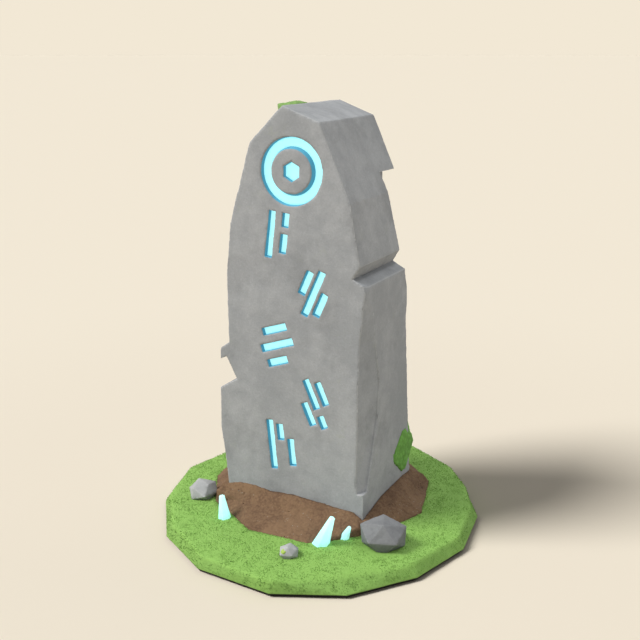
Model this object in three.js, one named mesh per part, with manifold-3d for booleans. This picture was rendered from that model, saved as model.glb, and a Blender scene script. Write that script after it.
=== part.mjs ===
// A standing stone in a low round of turf, carved with a ring, a hexagon and short tally strokes
// whose floors are inlaid with glowing glass. Lengths are millimetres, angles are degrees.
// +X runs along the carved face, +Y from the carved face to the back, +Z up from the underside.
import * as THREE from "three";
import { mergeVertices } from "three/addons/utils/BufferGeometryUtils.js";
import Module from "manifold-3d";

const wasm = await Module();
wasm.setup();

// ---- Driving dimensions ------------------------------------------------------------------

const GAP = 0.3; // clearance kept between two pieces that meet
const GROWTH = 0.4; // how much larger a piece is than itself where it is cut out of its neighbours
const PAST = 30; // how far a cutter runs past the surface that it opens

const SLAB = { depth: 627, foot: 60, right: 386, peak: 2151 };
const FRONT = -SLAB.depth / 2;
const BACK = SLAB.depth / 2;

// The slab's left edge going up, and its right edge coming down, as [x, z].
const LEFT_EDGE = [
  [-372, SLAB.foot],
  [-385, 236],
  [-403, 376],
  [-423, 519],
  [-416, 727],
  [-319, 786], // deepest point of the broken notch
  [-379, 895],
  [-415, 878], // beak over the notch
  [-412, 939],
  [-361, 975],
  [-368, 1328],
  [-336, 1591],
  [-222, 1977],
  [-46, SLAB.peak],
];
const RIGHT_EDGE = [
  [146, 2079],
  [304, 1717],
  [356, 1424],
  [321, 1365], // valley of the V-shaped notch
  [SLAB.right, 1328],
  [SLAB.right, SLAB.foot],
];

// Long spall down the front right corner: where it meets the carved face (x) and the side (y),
// and the small step (lip) at which it stops short of the side, from the top down.
const FRONT_SPALL = [
  { z: 1352, x: 367, y: -252, lip: 0 },
  { z: 1302, x: 384, y: -303, lip: 0 },
  { z: 1191, x: 373, y: -218, lip: 0 },
  { z: 1046, x: 357, y: -191, lip: 2 },
  { z: 825, x: 353, y: -130, lip: 6 },
  { z: 630, x: 353, y: -142, lip: 11 },
  { z: 285, x: 352, y: -262, lip: 14 },
];

// Slab broken away down the back right corner, as a rebate: its near wall (y) and its reach (x).
const BACK_SPALL = [
  { z: 1812, x: 236, y: 134 },
  { z: 1711, x: 240, y: 147 },
  { z: 1419, x: 250, y: 180 },
  { z: 1318, x: 252, y: 184 },
  { z: 1229, x: 262, y: 219 },
  { z: 1028, x: 270, y: 213 },
  { z: 474, x: 320, y: 276 },
  { z: 205, x: 372, y: 306 },
];
const SPALL_SLOPE = 46; // how far the far wall of the back rebate leans outwards
const SPALL_RUNOUT = 2; // how far past the side the front spall runs where it has no lip

const CARVING = { recess: 25, inlay: 8, draft: 10 };
const RING = { x: 0, z: 1848, outer: 160, inner: 115, draft: 2, facets: 48 };
const HEXAGON = { radius: 48, facets: 6 };

// The strokes: each mark is a small hatch of parallel strokes about its centre. lean tips the
// strokes clockwise from upright; each stroke is [name, distance across, lower end, upper end].
const STROKE_WIDTH = 37;
const MARKS = [
  {
    name: "mark1", x: -78, z: 1543, lean: 7,
    strokes: [["long", -38, -117, 112], ["high", 36, 44, 112], ["low", 36, -84, 10]],
  },
  {
    name: "mark2", x: 112, z: 1271, lean: 24,
    strokes: [["left", -56, -30, 92], ["middle", 0, -120, 122], ["right", 56, -92, 30]],
  },
  {
    name: "mark3", x: -86, z: 992, lean: 72,
    strokes: [["top", -80, -58, 80], ["middle", 0, -92, 92], ["bottom", 80, -80, 34]],
  },
  {
    name: "mark4", x: 123, z: 717, lean: -24,
    strokes: [["left", -56, -98, 22], ["high", 0, -26, 130], ["low", 0, -130, -66], ["right", 56, -22, 98]],
  },
  {
    name: "mark5", x: -66, z: 470, lean: -6,
    strokes: [["long", -55, -130, 130], ["high", 0, 26, 112], ["low", 54, -108, 34]],
  },
];

// Turf: a many-sided round whose corner radii change from side to side.
const TURF = { undercut: 16, lip: 20, rim: 76, seat: 90, crown: 98 };
// Shares of the lip's radius at the seat and crown, and how far rim and seat vary from corner to corner.
const TURF_SPAN = { seat: 0.78, crown: 0.55, reach: 0.05, rimRise: 4, seatRise: 3 };
// Each corner of the turf: [angle, radius at the lip, share of that radius left at the rim].
const TURF_CORNERS = [
  [-128.8, 861, 0.95], [-104, 904, 0.965], [-78.1, 949, 0.985], [-56.5, 943, 0.905], [-33.5, 897, 0.955],
  [-8.7, 862, 0.96], [16.7, 840, 0.95], [35, 824, 0.97], [53.6, 878, 0.95], [78.2, 930, 0.96],
  [104, 920, 0.95], [131, 900, 0.965], [158.5, 885, 0.94], [180, 870, 0.955], [203.5, 845, 0.96],
];

// Soil: a heap around the slab's foot. Outline as [angle, radius] about the slab's middle.
const SOIL = {
  base: 70, edge: 98, shoulder: 150, shoulderReach: 75,
  contact: 212, contactFall: 0.104, tuck: 40, above: 30,
  edgeRise: 2, shoulderRise: 9, // how far edge and shoulder vary from corner to corner
};
const SOIL_OUTLINE = [
  [-174, 612], [-143, 563], [-125, 527], [-103, 561], [-70.5, 580], [-62.5, 572], [-42.7, 546], [-12.2, 541],
  [0.8, 570], [39.6, 612], [66.4, 650], [95, 590], [128, 600], [155, 640], [175, 627],
];

// Boulders, moss and crystals: centre, half sizes and turn about the upright.
const ROCKS = [
  { name: "rock_right", at: [524, -384, 140], half: [130, 122, 96], turn: 20, rough: 0.1, seed: 3 },
  { name: "rock_left", at: [-553, -293, 118], half: [86, 84, 58], turn: 65, rough: 0.12, seed: 7 },
  { name: "rock_small", at: [174, -690, 112], half: [56, 52, 42], turn: 10, rough: 0.14, seed: 11 },
];
const MOSS = [
  { name: "moss_crown", at: [-96, -72, 2119], half: [98, 122, 46], turn: 25, rough: 0.1, seed: 5 },
  { name: "moss_side", at: [350, 214, 332], half: [62, 200, 202], turn: 0, rough: 0.12, seed: 9 },
];
const CRYSTALS = [
  { name: "crystal_left", at: [-306, -486, 90], top: [-320, -486, 213], base: 34, tip: 14, turn: 10 },
  { name: "crystal_tall", at: [255, -520, 84], top: [322, -528, 248], base: 45, tip: 14, turn: 25 },
  { name: "crystal_short", at: [333, -424, 86], top: [368, -428, 165], base: 27, tip: 9, turn: 5 },
];

// ---- Materials ---------------------------------------------------------------------------

const MATERIALS = {
  stone: { color: 0x9a9a97, roughness: 0.86, metalness: 0 },
  glow_glass: { color: 0x9ff4ff, roughness: 0.35, metalness: 0, emissive: 0x6fe4ff },
  crystal: { color: 0xd4fffa, roughness: 0.2, metalness: 0, emissive: 0x9ff2ee },
  soil: { color: 0x80634a, roughness: 0.95, metalness: 0 },
  turf: { color: 0x86b458, roughness: 0.92, metalness: 0 },
  moss: { color: 0x5d8a3c, roughness: 0.95, metalness: 0 },
  rock: { color: 0x828282, roughness: 0.85, metalness: 0 },
};

// ---- Solids ------------------------------------------------------------------------------

/** Position-only copy of a geometry with its shared corners merged. */
function welded(geometry) {
  const bare = geometry.clone();
  bare.deleteAttribute("normal");
  bare.deleteAttribute("uv");
  return mergeVertices(bare, 1e-4);
}

/** Closed geometry as a solid that can be joined and cut. */
function toSolid(geometry) {
  const { attributes, index } = welded(geometry);
  const vertProperties = Float32Array.from(attributes.position.array);
  const triVerts = Uint32Array.from(index.array);
  return new wasm.Manifold(new wasm.Mesh({ numProp: 3, vertProperties, triVerts }));
}

/** Solid back to a three.js geometry. */
function toGeometry(solid) {
  const { vertProperties, triVerts } = solid.getMesh();
  const geometry = new THREE.BufferGeometry();
  geometry.setAttribute("position", new THREE.BufferAttribute(Float32Array.from(vertProperties), 3));
  geometry.setIndex(new THREE.BufferAttribute(Uint32Array.from(triVerts), 1));
  geometry.computeVertexNormals();
  return geometry;
}

/** One solid less a list of others. */
function cut(solid, cutters) {
  return cutters.reduce((rest, cutter) => rest.subtract(cutter), solid);
}

/** Geometry grown from the middle of its box by a little over the clearance on every side. */
function grown(geometry) {
  geometry.computeBoundingBox();
  const centre = geometry.boundingBox.getCenter(new THREE.Vector3());
  const size = geometry.boundingBox.getSize(new THREE.Vector3());
  geometry.translate(-centre.x, -centre.y, -centre.z);
  geometry.scale(...size.toArray().map((side) => 1 + (2 * GROWTH) / side));
  return geometry.translate(centre.x, centre.y, centre.z);
}

/** Steady pseudo-random value between -1 and 1 for an index and a seed. */
function wobble(index, seed) {
  const wave = Math.sin(index * 127.1 + seed * 311.7) * 43758.5453;
  return 2 * (wave - Math.floor(wave)) - 1;
}

/** Point on a circle at an angle in degrees. */
function polar(angle, radius, z) {
  const turn = THREE.MathUtils.degToRad(angle);
  return new THREE.Vector3(radius * Math.cos(turn), radius * Math.sin(turn), z);
}

/** Closed geometry through rings of equally many points, counter-clockwise, from the lowest ring up. */
function loft(rings) {
  const count = rings[0].length;
  const points = rings.flat();
  const faces = [];
  for (let ring = 0; ring + 1 < rings.length; ring += 1) {
    for (let i = 0; i < count; i += 1) {
      const [a, b] = [ring * count + i, ring * count + ((i + 1) % count)];
      const [c, d] = [a + count, b + count];
      if ((i + ring) % 2) faces.push(a, b, c, b, d, c);
      else faces.push(a, b, d, a, d, c);
    }
  }
  for (const [ring, outward] of [[0, -1], [rings.length - 1, 1]]) {
    const middle = new THREE.Vector3();
    rings[ring].forEach((point) => middle.addScaledVector(point, 1 / count));
    points.push(middle);
    for (let i = 0; i < count; i += 1) {
      const [a, b] = [ring * count + i, ring * count + ((i + 1) % count)];
      faces.push(points.length - 1, outward > 0 ? a : b, outward > 0 ? b : a);
    }
  }
  const geometry = new THREE.BufferGeometry().setFromPoints(points);
  geometry.setIndex(faces);
  return geometry;
}

// Growth of a lump's half size for each millimetre that its facets, nearer than its corners, move out.
const LUMP_SPREAD = 1.4;

/** Lumpy many-faced stone or cushion about a centre, grown by a clearance. */
function lump({ at, half, turn, rough, seed }, clearance = 0) {
  const geometry = welded(new THREE.IcosahedronGeometry(1, 0));
  const corners = geometry.attributes.position;
  const corner = new THREE.Vector3();
  for (let i = 0; i < corners.count; i += 1) {
    corner.fromBufferAttribute(corners, i).multiplyScalar(1 + rough * wobble(i, seed));
    corners.setXYZ(i, corner.x, corner.y, corner.z);
  }
  geometry.rotateZ(THREE.MathUtils.degToRad(turn));
  geometry.scale(...half.map((size) => size + LUMP_SPREAD * clearance));
  return geometry.translate(...at);
}

/** Six-sided tapering crystal from its foot to its tip, grown by a clearance. */
function crystal({ at, top, base, tip, turn }, clearance = 0) {
  const foot = new THREE.Vector3(...at);
  const axis = new THREE.Vector3(...top).sub(foot);
  const length = axis.length();
  const shaft = new THREE.CylinderGeometry(tip + clearance, base + clearance, length + 2 * clearance, 6);
  shaft.rotateY(THREE.MathUtils.degToRad(turn));
  shaft.translate(0, length / 2, 0);
  const upright = new THREE.Vector3(0, 1, 0);
  shaft.applyQuaternion(new THREE.Quaternion().setFromUnitVectors(upright, axis.normalize()));
  return shaft.translate(...at);
}

/** The slab's outline pulled through its depth. */
function slabPrism() {
  const outline = new THREE.Shape([...LEFT_EDGE, ...RIGHT_EDGE].map(([x, z]) => new THREE.Vector2(x, z)));
  const prism = new THREE.ExtrudeGeometry(outline, { depth: SLAB.depth, bevelEnabled: false });
  return prism.rotateX(Math.PI / 2).translate(0, BACK, 0);
}

/** What broke off the front right corner. */
function frontSpall() {
  const rings = FRONT_SPALL.map(({ z, x, y, lip }) => {
    const inner = new THREE.Vector3(SLAB.right - lip, y, z);
    const face = new THREE.Vector3(x, FRONT, z);
    const beyond = face.clone().lerp(inner, -PAST / (y - FRONT));
    const far = SLAB.right + PAST;
    const outer = new THREE.Vector3(far, y + (lip ? 0 : SPALL_RUNOUT), z);
    return [beyond, new THREE.Vector3(far, FRONT - PAST, z), outer, inner];
  });
  return loft(rings.reverse());
}

/** What broke off the back right corner. */
function backSpall() {
  const rings = BACK_SPALL.map(({ z, x, y }) => [
    new THREE.Vector3(x, y, z),
    new THREE.Vector3(SLAB.right + PAST, y, z),
    new THREE.Vector3(SLAB.right + PAST, BACK + PAST, z),
    new THREE.Vector3(x - SPALL_SLOPE, BACK + PAST, z),
  ]);
  return loft(rings.reverse());
}

/** Ring about an axis along Y, from a closed profile of [radius, distance behind the carved face]. */
function turned(profile) {
  const closed = [...profile, profile[0]];
  const points = closed.map(([radius, behind]) => new THREE.Vector2(radius, FRONT + behind));
  return new THREE.LatheGeometry(points, RING.facets).translate(RING.x, 0, RING.z);
}

/** Flat-faced block behind the carved face, from one distance to another. */
function sunk(geometry, from, to) {
  return geometry.scale(1, to - from, 1).translate(0, FRONT + (from + to) / 2, 0);
}

/** One stroke of a mark, narrowed by a clearance, between two distances behind the carved face. */
function stroke(mark, [, across, low, high], clearance, from, to) {
  const bar = new THREE.BoxGeometry(STROKE_WIDTH - 2 * clearance, 1, high - low - 2 * clearance);
  bar.translate(across, 0, (low + high) / 2);
  bar.rotateY(THREE.MathUtils.degToRad(mark.lean));
  return sunk(bar, from, to).translate(mark.x, 0, mark.z);
}

/** The hexagon at the ring's middle, between two distances behind the carved face. */
function hexagon(clearance, from, to) {
  const radius = HEXAGON.radius - clearance;
  const bar = new THREE.CylinderGeometry(radius, radius, 1, HEXAGON.facets);
  return sunk(bar, from, to).translate(RING.x, 0, RING.z);
}

/** Everything carved out of the slab's face. */
function carvings() {
  const { recess, inlay, draft } = CARVING;
  const floor = recess + inlay;
  const flare = (run) => run * (1 + PAST / recess);
  const ring = turned([
    [RING.inner - flare(draft), -PAST],
    [RING.outer + flare(RING.draft), -PAST],
    [RING.outer, recess],
    [RING.outer, floor],
    [RING.inner, floor],
    [RING.inner, recess],
  ]);
  const strokes = MARKS.flatMap((mark) => mark.strokes.map((each) => stroke(mark, each, 0, -PAST, floor)));
  return [ring, hexagon(0, -PAST, floor), ...strokes];
}

/** The glowing inlays on the carvings' floors, by name. */
function inlays() {
  const front = CARVING.recess;
  const behind = CARVING.recess + CARVING.inlay - GAP;
  const ring = turned([
    [RING.inner + GAP, front],
    [RING.outer - GAP, front],
    [RING.outer - GAP, behind],
    [RING.inner + GAP, behind],
  ]);
  const named = [["inlay_ring", ring], ["inlay_hexagon", hexagon(GAP, front, behind)]];
  for (const mark of MARKS) {
    for (const each of mark.strokes) {
      named.push([`inlay_${mark.name}_${each[0]}`, stroke(mark, each, GAP, front, behind)]);
    }
  }
  return named;
}

/** The round of turf, undercut at its foot and bevelled at its rim, rising a little to the middle. */
function turf() {
  const ring = (reach, height) => TURF_CORNERS.map(([angle, radius, bevel], i) =>
    polar(angle, reach(radius, bevel, i), height(i)));
  return loft([
    ring((radius) => radius - TURF.undercut, () => 0),
    ring((radius) => radius, () => TURF.lip),
    ring((radius, bevel) => radius * bevel, (i) => TURF.rim + TURF_SPAN.rimRise * wobble(i, 1)),
    ring(
      (radius, bevel, i) => radius * (TURF_SPAN.seat + TURF_SPAN.reach * wobble(i, 2)),
      (i) => TURF.seat + TURF_SPAN.seatRise * wobble(i, 3),
    ),
    ring((radius) => radius * TURF_SPAN.crown, () => TURF.crown),
  ]);
}

/** Distance from the middle to the slab's rectangular foot at an angle. */
function footRadius(angle) {
  const turn = THREE.MathUtils.degToRad(angle);
  return Math.min(SLAB.right / Math.abs(Math.cos(turn)), BACK / Math.abs(Math.sin(turn)));
}

/** The heap of soil, highest at the slab's left and falling to its right. */
function soil() {
  const contact = (x) => SOIL.contact - SOIL.contactFall * x;
  const ring = (radius, height) => SOIL_OUTLINE.map(([angle, reach], i) => {
    const point = polar(angle, radius(angle, reach, i), 0);
    return point.setZ(height(point.x, i));
  });
  return loft([
    ring((angle, reach) => reach, () => SOIL.base),
    ring((angle, reach) => reach, (x, i) => SOIL.edge + SOIL.edgeRise * wobble(i, 4)),
    ring(
      (angle) => footRadius(angle) + SOIL.shoulderReach,
      (x, i) => SOIL.shoulder + SOIL.shoulderRise * wobble(i, 6),
    ),
    ring((angle) => footRadius(angle) - SOIL.tuck, (x) => contact(x) + SOIL.above),
  ]);
}

// ---- Scene graph -------------------------------------------------------------------------

const part = new THREE.Group();

/** Adds a named piece with one of the materials above. */
function addPiece(name, geometry, material) {
  const look = new THREE.MeshStandardMaterial({ ...MATERIALS[material], flatShading: true });
  const piece = new THREE.Mesh(geometry, look);
  piece.name = name;
  part.add(piece);
}

const blank = cut(toSolid(slabPrism()), [frontSpall(), backSpall()].map(toSolid));
const stone = cut(blank, carvings().map(toSolid));
const stoneRoom = toSolid(grown(toGeometry(blank)));
const clearOf = (build, pieces) => pieces.map((each) => toSolid(build(each, GAP)));
const rockRooms = clearOf(lump, ROCKS);
const crystalRooms = clearOf(crystal, CRYSTALS);
const mossRooms = clearOf(lump, MOSS);
const soilRoom = toSolid(grown(soil()));

addPiece("stone", toGeometry(stone), "stone");
for (const [name, geometry] of inlays()) addPiece(name, geometry, "glow_glass");
for (const rock of ROCKS) addPiece(rock.name, toGeometry(cut(toSolid(lump(rock)), [stoneRoom])), "rock");
for (const each of CRYSTALS) {
  addPiece(each.name, toGeometry(cut(toSolid(crystal(each)), rockRooms)), "crystal");
}
for (const moss of MOSS) addPiece(moss.name, toGeometry(cut(toSolid(lump(moss)), [stoneRoom])), "moss");
const heap = cut(toSolid(soil()), [stoneRoom, ...rockRooms, ...crystalRooms, ...mossRooms]);
addPiece("soil_mound", toGeometry(heap), "soil");
const ground = cut(toSolid(turf()), [stoneRoom, soilRoom, ...rockRooms, ...crystalRooms, ...mossRooms]);
addPiece("turf", toGeometry(ground), "turf");

// Set the origin at the middle of the underside.
const bounds = new THREE.Box3().setFromObject(part);
const middle = bounds.getCenter(new THREE.Vector3());
for (const piece of part.children) piece.geometry.translate(-middle.x, -middle.y, -bounds.min.z);

export default part;
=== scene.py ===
"""Looks of a carved standing stone in a round of turf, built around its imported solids.

The slab keeps its broad facets and gets worn edges, a weathered grain and relief. Its carved ring,
hexagon and strokes hold glowing glass. Bare earth, boulders, crystals and moss lie round its foot
on a lawn of short grass. Lengths are metres, angles degrees.
"""

import logging
import math
import random
from collections.abc import Callable, Sequence
from dataclasses import dataclass, field
from enum import Enum
from functools import cached_property

import bmesh
import bpy
from mathutils import Euler, Matrix, Vector, noise
from mathutils.bvhtree import BVHTree


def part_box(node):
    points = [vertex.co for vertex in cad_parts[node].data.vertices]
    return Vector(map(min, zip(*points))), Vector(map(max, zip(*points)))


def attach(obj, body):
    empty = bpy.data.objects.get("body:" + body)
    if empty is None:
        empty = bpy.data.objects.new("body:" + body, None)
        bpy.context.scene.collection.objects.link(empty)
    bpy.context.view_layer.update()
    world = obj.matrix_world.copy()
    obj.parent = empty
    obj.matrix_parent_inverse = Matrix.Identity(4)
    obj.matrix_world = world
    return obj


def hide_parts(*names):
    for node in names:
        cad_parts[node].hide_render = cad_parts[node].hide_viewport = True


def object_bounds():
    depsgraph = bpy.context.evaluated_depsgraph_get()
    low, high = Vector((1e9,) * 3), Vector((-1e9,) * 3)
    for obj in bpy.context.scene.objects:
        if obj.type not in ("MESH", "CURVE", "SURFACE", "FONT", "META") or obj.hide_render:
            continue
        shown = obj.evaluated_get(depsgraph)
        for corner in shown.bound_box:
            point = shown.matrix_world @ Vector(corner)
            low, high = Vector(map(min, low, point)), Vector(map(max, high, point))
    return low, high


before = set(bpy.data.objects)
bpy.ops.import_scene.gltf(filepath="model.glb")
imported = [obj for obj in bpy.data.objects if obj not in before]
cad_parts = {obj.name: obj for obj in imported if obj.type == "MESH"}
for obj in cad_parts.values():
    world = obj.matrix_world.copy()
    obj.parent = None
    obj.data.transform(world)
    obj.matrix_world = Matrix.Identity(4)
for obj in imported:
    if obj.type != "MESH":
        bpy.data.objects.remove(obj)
CAD_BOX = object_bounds()

LOG = logging.getLogger("standing_stone")
BODY = "root"
MM = 0.001

Colour = tuple[float, float, float]


# ---- Shader graph --------------------------------------------------------------------------


class Signal:
    """One output of a shader node, on which arithmetic adds Math nodes."""

    def __init__(self, graph: "Graph", socket: bpy.types.NodeSocket) -> None:
        """Keeps the socket and the graph that it belongs to."""
        self.graph = graph
        self.socket = socket

    def _math(self, operation: str, *operands: "Signal | float") -> "Signal":
        """Adds one Math node over the operands."""
        return self.graph.node("ShaderNodeMath", {"operation": operation}, dict(enumerate(operands)))

    def __add__(self, other: "Signal | float") -> "Signal":
        """Sum."""
        return self._math("ADD", self, other)

    def __radd__(self, other: float) -> "Signal":
        """Sum with a number on the left."""
        return self._math("ADD", other, self)

    def __sub__(self, other: "Signal | float") -> "Signal":
        """Difference."""
        return self._math("SUBTRACT", self, other)

    def __rsub__(self, other: float) -> "Signal":
        """Difference from a number on the left."""
        return self._math("SUBTRACT", other, self)

    def __mul__(self, other: "Signal | float") -> "Signal":
        """Product."""
        return self._math("MULTIPLY", self, other)

    def __rmul__(self, other: float) -> "Signal":
        """Product with a number on the left."""
        return self._math("MULTIPLY", other, self)

    def rise(self, low: float, high: float) -> "Signal":
        """Smooth step from 0 to 1.

        Args:
            low: The value at which the step starts.
            high: The value at which it ends; below low, the step falls instead.

        Returns:
            A signal between 0 and 1.
        """
        settings = {"interpolation_type": "SMOOTHSTEP"}
        if low <= high:
            return self.graph.node("ShaderNodeMapRange", settings, {0: self, 1: low, 2: high})
        return 1 - self.graph.node("ShaderNodeMapRange", settings, {0: self, 1: high, 2: low})


class Graph:
    """The node tree of a material or of the world."""

    def __init__(self, owner: bpy.types.Material | bpy.types.World) -> None:
        """Starts with an empty tree.

        Args:
            owner: The new material or world that the tree belongs to.
        """
        owner.use_nodes = True
        self.owner = owner
        self.tree = owner.node_tree
        self.tree.nodes.clear()

    @cached_property
    def where(self) -> Signal:
        """Object coordinates."""
        return self.node("ShaderNodeTexCoord", output="Object")

    def add(self, kind: str, settings: dict | None = None, inputs: dict | None = None) -> bpy.types.Node:
        """Adds a node of any type.

        Args:
            kind: The node's type name.
            settings: Its properties, set first.
            inputs: Values or signals by the socket's name or number.

        Returns:
            The new node.
        """
        made = self.tree.nodes.new(kind)
        for key, value in (settings or {}).items():
            setattr(made, key, value)
        for key, value in (inputs or {}).items():
            socket = made.inputs[key]
            if isinstance(value, Signal):
                self.tree.links.new(value.socket, socket)
            elif isinstance(value, tuple) and socket.type == "RGBA":
                socket.default_value = (*value, 1.0)
            else:
                socket.default_value = value
        return made

    def node(
        self,
        kind: str,
        settings: dict | None = None,
        inputs: dict | None = None,
        output: int | str = 0,
    ) -> Signal:
        """Adds a node for one of its outputs.

        Args:
            kind: The node's type name.
            settings: Its properties, set first.
            inputs: Values or signals by the socket's name or number.
            output: The name or number of the output wanted.

        Returns:
            The wanted output.
        """
        return Signal(self, self.add(kind, settings, inputs).outputs[output])

    def stretched(self, across: float, upward: float) -> Signal:
        """Object coordinates scaled across and upward, for streaks and beds."""
        return self.node("ShaderNodeMapping", {}, {0: self.where, 3: Vector((across, across, upward))})

    def grain(self, size: float, detail: float = 3.0, at: Signal | None = None) -> Signal:
        """Fractal noise.

        Args:
            size: Length of one wave.
            detail: Octaves of finer noise in it.
            at: Coordinates, or None for object coordinates.

        Returns:
            A signal around 0.5.
        """
        inputs = {"Vector": at or self.where, "Scale": 1 / size, "Detail": detail, "Roughness": 0.58}
        return self.node("ShaderNodeTexNoise", {}, inputs)

    def cells(self, size: float) -> Signal:
        """Distance from the middle of cells of the given size."""
        return self.node("ShaderNodeTexVoronoi", {}, {"Vector": self.where, "Scale": 1 / size})

    def stored(self, name: str) -> Signal:
        """A number stored on the mesh's corners or points under a name."""
        return self.node("ShaderNodeAttribute", {"attribute_name": name}, output="Fac")

    def axis(self, letter: str) -> Signal:
        """One of the object coordinates, by its letter."""
        return self.node("ShaderNodeSeparateXYZ", {}, {0: self.where}, letter)

    def mix(self, share: Signal | float, first: Signal | Colour, second: Signal | Colour) -> Signal:
        """Blend of two colours.

        Args:
            share: How much of the second colour shows.
            first: Colour at a share of 0.
            second: Colour at a share of 1.

        Returns:
            The blended colour.
        """
        settings = {"data_type": "RGBA", "clamp_factor": True}
        return self.node("ShaderNodeMix", settings, {0: share, 6: first, 7: second}, 2)

    def shade(self, colour: Signal, level: Signal) -> Signal:
        """Colour made lighter or darker by a level around 1."""
        grey = self.node("ShaderNodeCombineXYZ", {}, {0: level, 1: level, 2: level})
        return self.node("ShaderNodeVectorMath", {"operation": "MULTIPLY"}, {0: colour, 1: grey})

    def bump(self, height: Signal, distance: float, strength: float = 1.0) -> Signal:
        """Normal of a surface whose height varies from 0 to distance."""
        inputs = {"Strength": strength, "Distance": distance, "Height": height}
        return self.node("ShaderNodeBump", {}, inputs)

    def surface(self, **inputs: "Signal | Colour | float") -> bpy.types.Material:
        """Ends the graph in a Principled shader.

        Args:
            **inputs: Its sockets, with underscores for the spaces in their names.

        Returns:
            The finished material.
        """
        named = {key.replace("_", " "): value for key, value in inputs.items()}
        shader = self.node("ShaderNodeBsdfPrincipled", {}, named)
        self.add("ShaderNodeOutputMaterial", {}, {"Surface": shader})
        return self.owner


# ---- Finishes ------------------------------------------------------------------------------


@dataclass(frozen=True)
class WeatheredStone:
    """Grey rock with a mineral grain, worn pale on its edges, stained at its foot, with painted shade on
    ledges under overhangs and a painted cyan glow in its carvings.
    """

    name: str
    pale: Colour = (0.296, 0.300, 0.302)
    deep: Colour = (0.236, 0.242, 0.246)
    worn: Colour = (0.355, 0.358, 0.352)
    lichen: Colour = (0.270, 0.290, 0.235)
    earth: Colour = (0.125, 0.092, 0.065)
    # painted cyan light for the carving walls, standing in for the glow of the glass on them
    lit: Colour = (0.05, 0.30, 0.44)
    # strength of the painted shade on ledges under the slab's overhangs
    damp: float = 0.34
    stain_top: float | None = None
    carved_from: float | None = None

    def material(self) -> bpy.types.Material:
        """Builds the finish.

        Returns:
            The finished material.
        """
        graph = Graph(bpy.data.materials.new(self.name))
        beds = graph.grain(0.34, 2, graph.stretched(1.0, 0.45))
        blotches = graph.grain(0.07, 5)
        grain = graph.grain(0.009, 4)
        specks = graph.cells(0.011)
        body = graph.mix((beds * 0.55 + blotches * 0.45).rise(0.36, 0.64), self.deep, self.pale)
        level = 0.88 + grain * 0.24 - specks.rise(0.22, 0.05) * 0.12 + specks.rise(0.62, 0.8) * 0.05
        body = graph.shade(body, level - graph.stored("hollow").rise(0.2, 1.0) * 0.12)
        body = graph.mix(graph.stored("wear").rise(0.1, 1.0) * (0.35 + grain * 0.5), body, self.worn)
        patches = graph.grain(0.13, 6).rise(0.6, 0.72) * graph.grain(0.02, 3).rise(0.42, 0.62)
        body = graph.mix(patches * 0.3, body, self.lichen)
        # painted shade: ledges cut off from the sky by overhangs are darkened
        body = graph.shade(body, 1 - graph.stored("shelter") * (self.damp - 0.1 + blotches * 0.2))
        if self.stain_top is not None:
            height = graph.axis("Z") + graph.grain(0.09, 4) * 0.09
            stain = height.rise(self.stain_top + 0.10, self.stain_top)
            body = graph.mix(stain * (0.04 + blotches * 0.18), body, self.earth)
        glow = {}
        unlit = (0.0, 0.0, 0.0)
        # painted light: deep in the carvings the stone is coloured cyan and given a faint glow, standing in
        # for the light of the glass
        if self.carved_from is not None:
            depth = graph.axis("Y").rise(self.carved_from, self.carved_from + 2 * MM)
            inside = graph.stored("carved") * depth
            body = graph.mix(inside * 0.85, body, self.lit)
            glow = {"Emission_Color": graph.mix(inside, unlit, self.lit), "Emission_Strength": 0.16}
        relief = blotches * 0.5 + graph.grain(0.022, 5) * 0.35 + grain * 0.22 - specks.rise(0.3, 0.0) * 0.1
        return graph.surface(
            Base_Color=body,
            Roughness=0.78 + grain * 0.2,
            Specular_IOR_Level=0.32,
            Normal=graph.bump(relief, 3.2 * MM, 0.7),
            **glow,
        )


@dataclass(frozen=True)
class GlowingGlass:
    """Inlaid glass that shines pale cyan, a little deeper towards its edges."""

    name: str = "glowing_glass"
    body: Colour = (0.08, 0.16, 0.18)
    core: Colour = (0.46, 0.96, 0.96)
    rim: Colour = (0.24, 0.78, 0.92)

    def material(self) -> bpy.types.Material:
        """Builds the finish.

        Returns:
            The finished material.
        """
        graph = Graph(bpy.data.materials.new(self.name))
        cloud = graph.grain(0.03, 3)
        colour = graph.mix(graph.stored("wear").rise(0.0, 1.0) * 0.8 + cloud * 0.25, self.core, self.rim)
        return graph.surface(
            Base_Color=self.body,
            Roughness=0.3 + cloud * 0.1,
            Emission_Color=colour,
            Emission_Strength=1.0,
            Normal=graph.bump(cloud, 1.0 * MM, 0.4),
        )


@dataclass(frozen=True)
class GlowingCrystal:
    """Milky crystal lit from inside, whiter towards its tip."""

    name: str = "glowing_crystal"
    foot: float = 0.09
    tip: float = 0.24
    body: Colour = (0.30, 0.62, 0.60)
    low: Colour = (0.40, 0.92, 0.87)
    high: Colour = (0.62, 0.98, 0.91)

    def material(self) -> bpy.types.Material:
        """Builds the finish.

        Returns:
            The finished material.
        """
        graph = Graph(bpy.data.materials.new(self.name))
        veins = graph.grain(0.02, 4, graph.stretched(1.0, 0.35))
        share = graph.axis("Z").rise(self.foot, self.tip) * 0.8 + veins * 0.4 - 0.1
        colour = graph.mix(share + graph.stored("wear").rise(0.1, 1.0) * 0.5, self.low, self.high)
        return graph.surface(
            Base_Color=self.body,
            Roughness=0.12 + veins * 0.12,
            IOR=1.55,
            Transmission_Weight=0.3,
            Emission_Color=colour,
            Emission_Strength=0.72,
            Normal=graph.bump(veins, 1.5 * MM, 0.5),
        )


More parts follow.
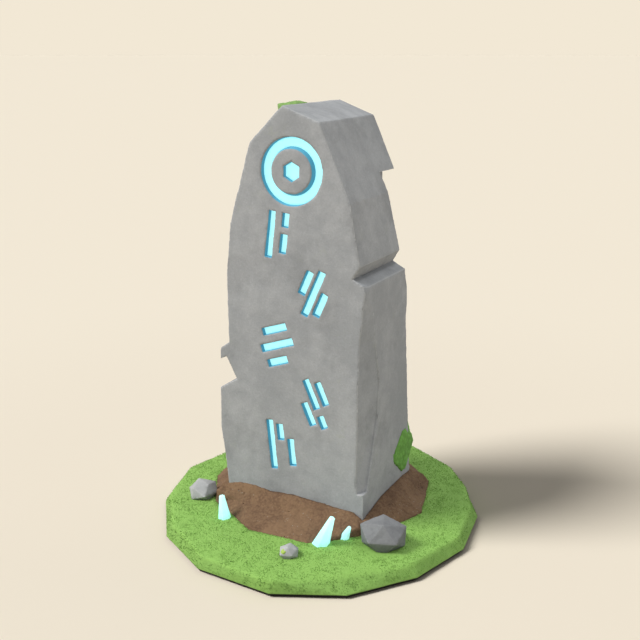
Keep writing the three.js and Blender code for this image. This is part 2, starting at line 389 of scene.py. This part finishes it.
@dataclass(frozen=True)
class BareEarth:
    """Crumbly brown soil, paler where it has dried."""

    name: str = "bare_earth"
    dry: Colour = (0.172, 0.104, 0.058)
    damp: Colour = (0.108, 0.062, 0.036)
    grit: Colour = (0.240, 0.195, 0.150)

    def material(self) -> bpy.types.Material:
        """Builds the finish.

        Returns:
            The finished material.
        """
        graph = Graph(bpy.data.materials.new(self.name))
        patches = graph.grain(0.16, 4)
        crumbs = graph.grain(0.012, 5)
        stones = graph.cells(0.02)
        body = graph.mix((patches * 0.6 + crumbs * 0.4).rise(0.36, 0.62), self.damp, self.dry)
        body = graph.shade(body, 0.84 + crumbs * 0.34 - graph.stored("hollow").rise(0.15, 1.0) * 0.4)
        body = graph.mix(stones.rise(0.17, 0.1) * patches.rise(0.45, 0.6), body, self.grit)
        return graph.surface(
            Base_Color=body,
            Roughness=0.9 + crumbs * 0.1,
            Specular_IOR_Level=0.2,
            Normal=graph.bump(crumbs * 0.6 + stones * 0.4, 5.0 * MM, 0.8),
        )


@dataclass(frozen=True)
class Grass:
    """Short green sward: darker at the roots, fresher at the tips, with drier tufts in it; painted shade
    darkens its rim and a near-black painted shadow its undercut foot.
    """

    name: str
    # height below which the turf is painted with near-black shadow
    painted_shadow_below: float = 18 * MM
    rim_top: float = 72 * MM
    root: Colour = (0.205, 0.370, 0.081)
    blade: Colour = (0.208, 0.373, 0.083)
    tip: Colour = (0.250, 0.412, 0.108)
    dry: Colour = (0.286, 0.390, 0.126)
    # near-black painted shadow for the turf's undercut foot
    soil: Colour = (0.012, 0.010, 0.008)
    rim_shade: float = 0.15

    def material(self) -> bpy.types.Material:
        """Builds the finish.

        Returns:
            The finished material.
        """
        graph = Graph(bpy.data.materials.new(self.name))
        tufts = graph.grain(0.12, 4)
        fine = graph.grain(0.012, 3)
        height = graph.stored("height")
        body = graph.mix(height.rise(0.0, 0.55), self.root, self.blade)
        body = graph.mix(height.rise(0.45, 1.0) * 0.75, body, self.tip)
        body = graph.mix(graph.stored("tint").rise(0.72, 1.0) * 0.45, body, self.dry)
        # painted shade: the sloping rim below rim_top is darkened, standing in for the shade on it
        painted_rim_shade = graph.axis("Z").rise(self.rim_top, self.rim_top - 12 * MM) * self.rim_shade
        body = graph.shade(body, 0.86 + tufts * 0.18 + fine * 0.1 - painted_rim_shade)
        # painted shadow: the undercut foot turns near-black, standing in for the shadow under the
        # overhanging rim
        body = graph.mix(graph.axis("Z").rise(self.painted_shadow_below + 3 * MM, self.painted_shadow_below), body, self.soil)
        return graph.surface(
            Base_Color=body,
            Roughness=0.7 + fine * 0.2,
            Specular_IOR_Level=0.2,
            Normal=graph.bump(fine, 2.5 * MM, 0.5),
        )


@dataclass(frozen=True)
class MossPile:
    """Dense dark moss, fresher on the crowns of its small cushions."""

    name: str
    deep: Colour = (0.050, 0.105, 0.022)
    fresh: Colour = (0.130, 0.250, 0.060)

    def material(self) -> bpy.types.Material:
        """Builds the finish.

        Returns:
            The finished material.
        """
        graph = Graph(bpy.data.materials.new(self.name))
        cushions = graph.cells(0.022)
        fine = graph.grain(0.006, 3)
        share = graph.stored("hollow").rise(0.7, 0.0) * 0.5 + cushions.rise(0.6, 0.0) * 0.35 + fine * 0.3
        body = graph.mix(share.rise(0.2, 0.95), self.deep, self.fresh)
        body = graph.shade(body, 0.8 + graph.grain(0.05, 3) * 0.4)
        return graph.surface(
            Base_Color=body,
            Roughness=0.88 + fine * 0.1,
            Specular_IOR_Level=0.15,
            Normal=graph.bump(cushions.rise(0.7, 0.0) * 0.6 + fine * 0.5, 3.0 * MM, 0.7),
        )


@dataclass(frozen=True)
class StudioPaper:
    """Pale backdrop floor with painted shade: a little darker near the object, lighter far off where it
    meets the backdrop.
    """

    name: str = "studio_floor"
    near: Colour = (0.888, 0.798, 0.656)
    far: Colour = (0.925, 0.840, 0.693)

    def material(self) -> bpy.types.Material:
        """Builds the finish.

        Returns:
            The finished material.
        """
        graph = Graph(bpy.data.materials.new(self.name))
        reach = graph.node("ShaderNodeVectorMath", {"operation": "LENGTH"}, {0: graph.where}, "Value")
        # painted shade: the floor runs from a darker tone near the object to a lighter one far off
        tone = graph.mix(reach.rise(0.5, 5.0), self.near, self.far)
        return graph.surface(Base_Color=tone, Roughness=0.95, Specular_IOR_Level=0.0)


# ---- Working a mesh ------------------------------------------------------------------------


class Form(Enum):
    """The ways in which a layer of relief can rise and fall."""

    SWELL = "swell"  # soft fractal undulation both ways
    PITS = "pits"  # scattered hollows only
    CLODS = "clods"  # rounded crumbs only
    SCALES = "scales"  # flat flakes at slightly different heights


@dataclass(frozen=True)
class Relief:
    """One layer of relief: its form, its height and its size across."""

    PIT_REACH = 0.34  # radius of a pit, in cells
    CLOD_REACH = 0.75  # radius of a crumb, in cells
    FLAKE_STRIDE = 7.3  # keeps neighbouring flakes at unlike heights

    form: Form
    height: float
    size: float

    def at(self, point: Vector) -> float:
        """Height of the layer at a point.

        Args:
            point: Where, in the frame.

        Returns:
            The height, which is negative in a hollow.
        """
        place = point / self.size
        if self.form is Form.SWELL:
            return self.height * noise.fractal(place, 0.9, 2.1, 3)
        near = noise.voronoi(place)[0]
        if self.form is Form.PITS:
            return -self.height * max(0.0, 1 - near[0] / self.PIT_REACH) ** 1.5
        if self.form is Form.CLODS:
            return self.height * math.sqrt(max(0.0, 1 - (near[0] / self.CLOD_REACH) ** 2))
        return self.height * noise.cell(noise.voronoi(place)[1][0] * self.FLAKE_STRIDE)


class Clay:
    """A piece's mesh in the making, from a copy of a CAD node to a finished object."""

    STORED = ("wear", "hollow", "carved", "height", "tint", "shelter")
    WELD = 0.02 * MM
    SLIVER = 0.3 * MM
    FLAT = 0.4  # degrees between faces that count as one plane
    FULL_WEAR = 80.0  # degrees between faces at which an edge wears fully

    def __init__(self, node: str | None = None) -> None:
        """Starts empty, or from a merged copy of a CAD node.

        Args:
            node: The node's name, or None for an empty mesh.
        """
        self.bm = bmesh.new()
        for name in self.STORED:
            self.bm.verts.layers.float.new(name)
        if node is not None:
            self.bm.from_mesh(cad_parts[node].data)
            bmesh.ops.remove_doubles(self.bm, verts=self.bm.verts, dist=self.WELD)
            bmesh.ops.dissolve_limit(
                self.bm, angle_limit=math.radians(self.FLAT), verts=self.bm.verts, edges=self.bm.edges
            )

    def _triangulate(self) -> None:
        """Splits every face of more than four sides."""
        wide = [face for face in self.bm.faces if len(face.verts) > 4]
        bmesh.ops.triangulate(self.bm, faces=wide, quad_method="BEAUTY", ngon_method="BEAUTY")

    def layer(self, name: str) -> bmesh.types.BMLayerItem:
        """The number stored on each vertex under one of the names above."""
        return self.bm.verts.layers.float[name]

    def chamfer(self, width: float, sharper_than: float) -> "Clay":
        """Bevels the outward edges that are sharper than an angle.

        Args:
            width: Width taken off on each side of an edge.
            sharper_than: Least angle between the two faces, in degrees.

        Returns:
            The same piece.
        """
        limit = math.radians(sharper_than)
        sharp = [edge for edge in self.bm.edges if edge.calc_face_angle_signed(0) > limit]
        bmesh.ops.bevel(
            self.bm, geom=sharp, offset=width, affect="EDGES", segments=1, profile=0.5, material=-1
        )
        self._triangulate()
        return self

    def refine(self, step: float) -> "Clay":
        """Slices the piece into even cells by planes a step apart along each axis.

        Args:
            step: Distance between neighbouring planes.

        Returns:
            The same piece.
        """
        corners = [point.co for point in self.bm.verts]
        low = Vector([min(corner[axis] for corner in corners) for axis in range(3)])
        high = Vector([max(corner[axis] for corner in corners) for axis in range(3)])
        for axis in sorted(range(3), key=lambda axis: low[axis] - high[axis]):
            across = Vector([float(axis == other) for other in range(3)])
            for number in range(1, math.ceil((high[axis] - low[axis]) / step)):
                bmesh.ops.bisect_plane(
                    self.bm,
                    geom=[*self.bm.verts, *self.bm.edges, *self.bm.faces],
                    dist=self.SLIVER,
                    plane_co=low + across * (step * number),
                    plane_no=across,
                )
        self._triangulate()
        self.bm.normal_update()
        return self

    def wear(self, depth: float, sharper_than: float = 18.0, size: float = 0.05) -> "Clay":
        """Rubs and chips the outward edges, and stores how worn each point is.

        Args:
            depth: Most that is taken off an edge.
            sharper_than: Least angle, in degrees, of an edge that wears.
            size: Size of the chips along an edge.

        Returns:
            The same piece.
        """
        worn = self.layer("wear")
        self.bm.normal_update()
        low, high = math.radians(sharper_than), math.radians(self.FULL_WEAR)
        moves = []
        for point in self.bm.verts:
            sharp = max((edge.calc_face_angle_signed(0) for edge in point.link_edges), default=0)
            share = min(1.0, max(0.0, (sharp - low) / (high - low))) ** 0.6
            chip = 0.5 + 0.5 * noise.noise(point.co / size) + 0.35 * noise.noise(point.co / size * 3.7)
            moves.append((point, share, depth * share * min(1.0, max(0.12, chip))))
        for point, share, push in moves:
            point[worn] = share
            point.co -= point.normal * push
        self.bm.normal_update()
        return self

    def roughen(self, layers: Sequence[Relief], hold: Callable[[Vector], float] | None = None) -> "Clay":
        """Raises and lowers the surface by layers of relief.

        Args:
            layers: The layers, which add up.
            hold: Share of the relief that a place gets, or None for all of it.

        Returns:
            The same piece.
        """
        hollow = self.layer("hollow")
        deepest = sum(layer.height for layer in layers)
        for point in self.bm.verts:
            share = hold(point.co) if hold else 1.0
            height = share * sum(layer.at(point.co) for layer in layers) if share else 0.0
            point[hollow] = min(1.0, max(0.0, -2.5 * height / deepest))
            point.co += point.normal * height
        self.bm.normal_update()
        return self

    def fire(self, name: str, material: bpy.types.Material, crease: float = 40.0) -> bpy.types.Object:
        """Turns the worked mesh into an object of the scene.

        Args:
            name: The object's name.
            material: Its material.
            crease: Angle, in degrees, above which an edge stays crisp.

        Returns:
            The object, at the origin with its place in its mesh.
        """
        mesh = bpy.data.meshes.new(name)
        self.bm.to_mesh(mesh)
        self.bm.free()
        mesh.materials.append(material)
        mesh.shade_smooth()
        mesh.set_sharp_from_angle(angle=math.radians(crease))
        piece = bpy.data.objects.new(name, mesh)
        bpy.context.scene.collection.objects.link(piece)
        return piece


def enter(piece: bpy.types.Object, slot: str, *nodes: str) -> bpy.types.Object:
    """Gives a piece its body and hides the CAD nodes that it stands for.

    Args:
        piece: The finished object.
        slot: The record's material slot; not used.
        *nodes: CAD nodes that the piece replaces.

    Returns:
        The same object.
    """
    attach(piece, BODY)
    if nodes:
        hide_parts(*nodes)
    LOG.info("%s: %d faces", piece.name, len(piece.data.polygons))
    return piece


def nodes_named(start: str) -> list[str]:
    """Names of the CAD nodes that begin with the given words, in order."""
    return sorted(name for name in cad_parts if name.startswith(start))


# ---- The object's parts --------------------------------------------------------------------


@dataclass
class CarvedSlab:
    """The standing slab with its carved ring, hexagon and strokes."""

    step: float = 0.0108
    edge_wear: float = 3.6 * MM
    carving_wear: float = 0.3
    stain_drop: float = 60 * MM  # from the top of the soil to where the earth stain starts
    groove_depth: float = 36 * MM
    mark_field: tuple[float, float, float, float] = (-0.20, 0.235, 0.30, 1.68)  # x, x, z, z
    ring_reach: float = 0.182
    skin: float = 6 * MM  # how far off the surface a ray to the sky starts
    overhang: float = 0.22
    outward: tuple[float, ...] = (0.15, 0.35, 0.55, 0.8)  # how far each ray leans off upright
    lip: float = 2 * MM
    face_depth: float = 0.5 * MM
    arris: float = 3 * MM
    low: Vector = field(default_factory=lambda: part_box("stone")[0])
    ring_middle: Vector = field(default_factory=lambda: sum(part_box("inlay_ring"), Vector()) / 2)

    def in_carving(self, point: Vector) -> bool:
        """Whether a point lies in the band of depth and the field that the carvings take up.

        Args:
            point: Where, in the frame.

        Returns:
            True in a carving or right at its mouth.
        """
        if not self.low.y - self.lip < point.y < self.low.y + self.groove_depth:
            return False
        left, right, bottom, top = self.mark_field
        if left < point.x < right and bottom < point.z < top:
            return True
        reach = math.hypot(point.x - self.ring_middle.x, point.z - self.ring_middle.z)
        return reach < self.ring_reach

    def shelter(self, clay: Clay) -> None:
        """Stores how far each ledge is cut off from the sky by the slab's own overhangs, for the painted
        shade on it.

        Args:
            clay: The slab's mesh.
        """
        stored = clay.layer("shelter")
        tree = BVHTree.FromBMesh(clay.bm)
        for point in clay.bm.verts:
            ledge = min(1.0, 2 * point.normal.z)
            if ledge <= 0 or self.in_carving(point.co):
                continue
            start = point.co + point.normal * self.skin
            rays = [(point.normal * out + Vector((0, 0, 1))).normalized() for out in self.outward]
            hits = [ray for ray in rays if tree.ray_cast(start, ray, self.overhang)[0] is not None]
            point[stored] = ledge * len(hits) / len(rays)

    def held(self, point: Vector) -> float:
        """Share of the relief that a place gets: none down in a carving."""
        return 0.0 if self.in_carving(point) and point.y > self.low.y + self.arris else 1.0

    def build(self) -> list[bpy.types.Object]:
        """Models the slab.

        Returns:
            The finished piece, in a list.
        """
        clay = Clay("stone").refine(self.step)
        carved = clay.layer("carved")
        mouth = self.low.y + self.face_depth
        deep = [v for v in clay.bm.verts if self.in_carving(v.co) and v.co.y > mouth]
        lips = {edge.other_vert(v) for v in deep for edge in v.link_edges}
        for point in (*deep, *lips):
            point[carved] = 1.0
        clay.wear(self.edge_wear)
        for point in (*deep, *lips):
            point[clay.layer("wear")] *= self.carving_wear
        layers = (
            Relief(Form.SWELL, 2.2 * MM, 0.30),
            Relief(Form.SWELL, 0.7 * MM, 0.055),
            Relief(Form.PITS, 1.1 * MM, 0.05),
        )
        clay.roughen(layers, self.held)
        self.shelter(clay)
        stain_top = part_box("soil_mound")[1].z - self.stain_drop
        finish = WeatheredStone("carved_slab", stain_top=stain_top, carved_from=self.low.y + self.arris)
        return [enter(clay.fire("slab", finish.material(), 38), "stone", "stone")]


@dataclass
class GlassInlays:
    """The strips of glowing glass on the floors of the carvings."""

    edge: float = 1.6 * MM
    step: float = 0.014

    def build(self) -> list[bpy.types.Object]:
        """Models one piece for each inlay.

        Returns:
            The finished pieces.
        """
        glass = GlowingGlass().material()
        pieces = []
        for node in nodes_named("inlay_"):
            clay = Clay(node).chamfer(self.edge, 60).refine(self.step)
            clay.wear(0.3 * MM, 20).roughen([Relief(Form.SWELL, 0.6 * MM, 0.03)])
            piece = clay.fire(node.replace("inlay", "glass"), glass)
            pieces.append(enter(piece, "glow_glass", node))
        return pieces


@dataclass
class EarthMound:
    """The heap of bare earth round the slab's foot, with clods and pebbles on it."""

    step: float = 0.013
    clods: int = 420
    clod_size: tuple[float, float] = (2.5 * MM, 7 * MM)
    sinking: float = 0.1  # share of a clod's size that it is pressed in
    steepest: float = 0.3  # least upward share of the ground's direction under a clod
    lumpiness: float = 0.25
    lumps_a_metre: float = 300
    seed: int = 11
    bare_from: float = 80 * MM  # height above the floor
    margin: float = 12 * MM
    slab_box: tuple[Vector, Vector] = field(default_factory=lambda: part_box("stone"))

    def build(self) -> list[bpy.types.Object]:
        """Models the heap and what lies on it.

        Returns:
            The finished pieces.
        """
        earth = BareEarth().material()
        clay = Clay("soil_mound").refine(self.step)
        tree = BVHTree.FromBMesh(clay.bm)
        clay.wear(5 * MM, 14)
        layers = (
            Relief(Form.SWELL, 5.0 * MM, 0.11),
            Relief(Form.CLODS, 4.5 * MM, 0.035),
            Relief(Form.SWELL, 1.6 * MM, 0.018),
        )
        clay.roughen(layers, self.open_ground)
        heap = enter(clay.fire("earth_heap", earth, 60), "soil", "soil_mound")
        return [heap, self.scatter(tree, earth)]

    def open_ground(self, point: Vector) -> float:
        """Share of the relief that a place gets: none where the heap meets the slab or the turf.

        Args:
            point: Where, in the frame.

        Returns:
            The share, which rises to 1 across a margin round the slab.
        """
        low, high = self.slab_box
        gap = max(low.x - point.x, point.x - high.x, low.y - point.y, point.y - high.y)
        return min(1.0, max(0.0, gap / self.margin)) if point.z > self.bare_from else 0.0

    def scatter(self, tree: BVHTree, earth: bpy.types.Material) -> bpy.types.Object:
        """Drops clods on the heap.

        Args:
            tree: The heap's surface.
            earth: The heap's material.

        Returns:
            The clods as one piece.
        """
        draw = random.Random(self.seed)
        low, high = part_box("soil_mound")
        clay = Clay()
        made = 0
        while made < self.clods:
            start = Vector((draw.uniform(low.x, high.x), draw.uniform(low.y, high.y), high.z + 0.1))
            spot, normal, _, _ = tree.ray_cast(start, Vector((0, 0, -1)))
            if spot is None or normal.z < self.steepest or self.open_ground(spot) < 1:
                continue
            size = draw.uniform(*self.clod_size) * draw.uniform(0.5, 1.0)
            turn = Euler([draw.uniform(0, math.tau) for _ in range(3)]).to_matrix().to_4x4()
            width, height = size * draw.uniform(0.6, 1.0), size * draw.uniform(0.5, 0.9)
            stretch = Matrix.Diagonal((size, width, height, 1))
            place = Matrix.Translation(spot - normal * size * self.sinking) @ turn @ stretch
            clod = bmesh.ops.create_icosphere(clay.bm, subdivisions=1, radius=1.0, matrix=place)
            made += 1
            for point in clod["verts"]:
                point.co += (point.co - spot) * self.lumpiness * noise.noise(point.co * self.lumps_a_metre)
        clay.bm.normal_update()
        return enter(clay.fire("earth_clods", earth, 20), "soil")


@dataclass
class TurfRound:
    """The round of ground under short grass."""

    step: float = 0.024
    blades: int = 36000
    blade_height: tuple[float, float] = (5 * MM, 12 * MM)
    blade_width: float = 2.6 * MM
    blade_lean: tuple[float, float, float] = (0.33, 0.33, 0.2)
    root_depth: float = 1.5 * MM
    clump_size: float = 50 * MM
    seed: int = 5
    sunk_below: float = 71 * MM  # sockets lie below this height
    rim_from: float = 0.72
    rim_foot: float = 27 * MM
    ground_height: float = 0.4  # share of a blade's height whose colour the ground takes
    headroom: float = 0.6

    def build(self) -> list[bpy.types.Object]:
        """Models the ground and its grass.

        Returns:
            The finished pieces.
        """
        clay = Clay("turf").refine(self.step)
        height = clay.layer("height")
        for point in clay.bm.verts:
            point[height] = self.ground_height
        clay.wear(3 * MM, 20)
        layers = (Relief(Form.SWELL, 3.0 * MM, 0.14), Relief(Form.CLODS, 1.5 * MM, 0.03))
        clay.roughen(layers, lambda point: 1.0 if self.grows(point) else 0.0)
        spots = self.sowing_spots(clay.bm)
        ground = enter(clay.fire("turf_ground", Grass("turf_roots").material(), 50), "turf", "turf")
        return [ground, self.sow(spots)]

    def grows(self, point: Vector) -> bool:
        """Whether grass grows at a place: on the lawn and its rim, not in a socket or underneath."""
        rim = math.hypot(point.x, point.y) > self.rim_from
        return point.z > (self.rim_foot if rim else self.sunk_below)

    def sowing_spots(self, bm: bmesh.types.BMesh) -> list[tuple[Vector, Vector]]:
        """Chooses where blades stand.

        Args:
            bm: The ground's mesh.

        Returns:
            A place and a surface direction for each blade.
        """
        draw = random.Random(self.seed)
        over = [*nodes_named("rock_"), *nodes_named("crystal_"), "soil_mound", "stone", "moss_side"]
        meshes = [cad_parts[name].data for name in over]
        covers = [
            BVHTree.FromPolygons(
                [v.co for v in mesh.vertices], [tuple(face.vertices) for face in mesh.polygons]
            )
            for mesh in meshes
        ]
        up = Vector((0, 0, 1))
        faces = [f for f in bm.faces if self.grows(f.calc_center_median()) and f.normal.z > -0.2]
        areas = [face.calc_area() for face in faces]
        spots = []
        for face in draw.choices(faces, areas, k=self.blades):
            a, b = sorted((draw.random(), draw.random()))
            corners = [v.co for v in face.verts]
            second = draw.randrange(1, len(corners) - 1)
            spot = corners[0] * a + corners[second] * (b - a) + corners[second + 1] * (1 - b)
            if any(tree.ray_cast(spot, up, self.headroom)[0] is not None for tree in covers):
                continue
            spots.append((spot, face.normal.copy()))
        return spots

    def sow(self, spots: list[tuple[Vector, Vector]]) -> bpy.types.Object:
        """Stands a three-sided tapering blade at each place.

        Args:
            spots: Places and surface directions.

        Returns:
            The grass as one piece.
        """
        draw = random.Random(self.seed + 1)
        clay = Clay()
        height, tint = clay.layer("height"), clay.layer("tint")
        up = Vector((0, 0, 1))
        for spot, normal in spots:
            grown = (normal + up * 0.5).normalized()
            lean = Vector([draw.gauss(0, spread) for spread in self.blade_lean])
            clump = 0.75 + 0.5 * noise.noise(spot / self.clump_size)
            stem = (grown + lean).normalized() * draw.uniform(*self.blade_height) * clump
            side = stem.orthogonal().normalized() * self.blade_width * draw.uniform(0.7, 1.2)
            side.rotate(Matrix.Rotation(draw.uniform(0, math.tau), 3, stem))
            across = stem.normalized().cross(side) * 0.5
            foot = spot - normal * self.root_depth
            corners = [
                clay.bm.verts.new(place)
                for place in (foot + side, foot - side * 0.5 + across, foot - side * 0.5 - across)
            ]
            tip = clay.bm.verts.new(foot + stem)
            shade = draw.random()
            for point in (*corners, tip):
                point[tint] = shade
            tip[height] = 1.0
            clay.bm.faces.new((corners[2], corners[1], corners[0]))
            for first, second in ((0, 1), (1, 2), (2, 0)):
                clay.bm.faces.new((corners[first], corners[second], tip))
        bmesh.ops.recalc_face_normals(clay.bm, faces=clay.bm.faces)
        return enter(clay.fire("turf_grass", Grass("turf_blades").material(), 1), "turf")


@dataclass
class Boulders:
    """The three loose boulders."""

    step: float = 0.008

    def build(self) -> list[bpy.types.Object]:
        """Models one piece for each boulder.

        Returns:
            The finished pieces.
        """
        dark = WeatheredStone(
            "boulder_dark",
            pale=(0.165, 0.168, 0.170),
            deep=(0.118, 0.121, 0.125),
            worn=(0.235, 0.236, 0.232),
        ).material()
        light = WeatheredStone(
            "boulder_light",
            pale=(0.355, 0.358, 0.350),
            deep=(0.275, 0.278, 0.275),
            worn=(0.430, 0.430, 0.420),
        ).material()
        layers = (
            Relief(Form.SWELL, 1.4 * MM, 0.07),
            Relief(Form.SWELL, 0.6 * MM, 0.02),
            Relief(Form.PITS, 1.0 * MM, 0.022),
        )
        pieces = []
        for node, rock in {"rock_right": dark, "rock_left": light, "rock_small": light}.items():
            clay = Clay(node).refine(self.step).wear(2.5 * MM, 12).roughen(layers)
            pieces.append(enter(clay.fire(node.replace("rock", "boulder"), rock, 30), "rock", node))
        return pieces


@dataclass
class Crystals:
    """The three glowing crystals."""

    edge: float = 1.8 * MM
    step: float = 0.007

    def build(self) -> list[bpy.types.Object]:
        """Models one piece for each crystal.

        Returns:
            The finished pieces.
        """
        low = min(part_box(node)[0].z for node in nodes_named("crystal_"))
        high = max(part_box(node)[1].z for node in nodes_named("crystal_"))
        crystal = GlowingCrystal(foot=low, tip=high).material()
        pieces = []
        for node in nodes_named("crystal_"):
            clay = Clay(node).chamfer(self.edge, 25).refine(self.step)
            clay.wear(0.6 * MM, 20).roughen([Relief(Form.SCALES, 0.5 * MM, 0.018)])
            pieces.append(enter(clay.fire(node.replace("crystal", "gem"), crystal, 24), "crystal", node))
        return pieces


@dataclass
class MossCushions:
    """The two cushions of moss on the slab, and a tuft beside the smallest boulder."""

    step: float = 0.0075
    sprig_radius: float = 0.013
    sprig_inset: Vector = field(default_factory=lambda: Vector((0.038, 0.019, 0.047)))

    def build(self) -> list[bpy.types.Object]:
        """Models one piece for each cushion.

        Returns:
            The finished pieces.
        """
        layers = (
            Relief(Form.SWELL, 2.5 * MM, 0.07),
            Relief(Form.CLODS, 3.5 * MM, 0.024),
            Relief(Form.CLODS, 1.5 * MM, 0.011),
        )
        fresh = {"moss_crown": (0.200, 0.330, 0.100), "moss_side": (0.152, 0.338, 0.071)}
        pieces = []
        for node, tone in fresh.items():
            clay = Clay(node).refine(self.step).wear(3 * MM, 12).roughen(layers)
            moss = MossPile(node.replace("moss", "pile"), fresh=tone).material()
            pieces.append(enter(clay.fire(node.replace("moss", "cushion"), moss, 45), "moss", node))
        return [*pieces, self.sprig()]

    def sprig(self) -> bpy.types.Object:
        """A yellow-green tuft beside the smallest boulder.

        Returns:
            The finished piece.
        """
        clay = Clay()
        stretch = Matrix.Diagonal((1.0, 0.8, 0.9, 1.0))
        place = Matrix.Translation(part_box("rock_small")[0] + self.sprig_inset) @ stretch
        bmesh.ops.create_icosphere(clay.bm, subdivisions=3, radius=self.sprig_radius, matrix=place)
        clay.roughen([Relief(Form.CLODS, 3.0 * MM, 0.008), Relief(Form.SWELL, 2.0 * MM, 0.02)])
        moss = MossPile("pile_sprig", deep=(0.20, 0.30, 0.05), fresh=(0.38, 0.50, 0.12)).material()
        return enter(clay.fire("moss_sprig", moss, 60), "moss")


# ---- Studio --------------------------------------------------------------------------------


@dataclass
class Lamp:
    """A soft distant light: where it shines from, how strong and how wide it is."""

    name: str
    azimuth: float
    elevation: float
    strength: float
    width: float
    tone: Colour = (1.0, 1.0, 1.0)

    def build(self, kept_off: bpy.types.Object | None = None) -> None:
        """Hangs the lamp.

        Args:
            kept_off: An object that the lamp doesn't light.
        """
        sun = bpy.data.lights.new(self.name, "SUN")
        sun.energy, sun.angle, sun.color = self.strength, math.radians(self.width), self.tone
        lamp = bpy.data.objects.new(self.name, sun)
        turn, rise = math.radians(self.azimuth), math.radians(self.elevation)
        source = Vector((math.cos(turn) * math.cos(rise), math.sin(turn) * math.cos(rise), math.sin(rise)))
        lamp.rotation_mode = "QUATERNION"
        lamp.rotation_quaternion = source.to_track_quat("Z", "Y")
        bpy.context.scene.collection.objects.link(lamp)
        if kept_off is not None:
            shaded = bpy.data.collections.new(f"{self.name}_kept_off")
            shaded.objects.link(kept_off)
            lamp.light_linking.receiver_collection = shaded
            shaded.collection_objects[0].light_linking.link_state = "EXCLUDE"


@dataclass
class Studio:
    """Plain pale floor, soft light and the camera."""

    floor_reach: float = 400.0
    floor_gap: float = 0.2 * MM
    camera_place: tuple[float, float, float] = (2.223, -4.475, 2.403)
    camera_turn: float = 26.32
    camera_dip: float = 15.07
    lens: float = 56.68
    horizon: Colour = (0.888, 0.807, 0.665)
    ambient: Colour = (0.166, 0.168, 0.171)

    def build(self) -> None:
        """Makes the floor, the lights, the sky and the camera."""
        floor = self.floor()
        Lamp("key", azimuth=-140.0, elevation=46.5, strength=3.18, width=22.0).build()
        Lamp("back", azimuth=78.0, elevation=48.0, strength=0.25, width=60.0).build()
        Lamp("dome", azimuth=0.0, elevation=90.0, strength=1.77, width=180.0).build(floor)
        side = Lamp("side", azimuth=0.0, elevation=0.0, strength=0.62, width=180.0, tone=(0.88, 1.0, 1.14))
        side.build(floor)
        self.sky()
        self.camera()
        view = bpy.context.scene.view_settings
        view.view_transform, view.look = "Standard", "None"

    def floor(self) -> bpy.types.Object:
        """Lays the floor just under the turf.

        Returns:
            The floor.
        """
        clay = Clay()
        lay = Matrix.Translation((0, 0, CAD_BOX[0].z - self.floor_gap))
        bmesh.ops.create_circle(clay.bm, cap_ends=True, segments=96, radius=self.floor_reach, matrix=lay)
        floor = clay.fire("studio_floor", StudioPaper().material())
        return floor

    def sky(self) -> None:
        """Lights the scene evenly all round, with a plain pale backdrop beyond the floor."""
        world = bpy.data.worlds.new("sky")
        bpy.context.scene.world = world
        graph = Graph(world)
        seen = graph.node("ShaderNodeLightPath", output="Is Camera Ray")
        light = graph.node("ShaderNodeBackground", {}, {"Color": self.ambient})
        backdrop = graph.node("ShaderNodeBackground", {}, {"Color": self.horizon})
        blend = graph.node("ShaderNodeMixShader", {}, {0: seen, 1: light, 2: backdrop})
        graph.add("ShaderNodeOutputWorld", {}, {"Surface": blend})

    def camera(self) -> None:
        """Sets up the camera."""
        made = bpy.data.cameras.new("camera")
        made.lens, made.sensor_width, made.clip_end = self.lens, 36.0, 1000.0
        camera = bpy.data.objects.new("camera", made)
        camera.location = self.camera_place
        tilt, turn = math.radians(90 - self.camera_dip), math.radians(self.camera_turn)
        camera.rotation_euler = Euler((tilt, 0, turn))
        bpy.context.scene.collection.objects.link(camera)
        bpy.context.scene.camera = camera


def main() -> None:
    """Builds every part of the object and the studio round it."""
    logging.basicConfig(level=logging.INFO, format="%(name)s %(message)s")
    Studio().build()
    for part in (CarvedSlab, GlassInlays, EarthMound, TurfRound, Boulders, Crystals, MossCushions):
        LOG.info("%s: %d pieces", part.__name__, len(part().build()))


if __name__ == "__main__":
    main()
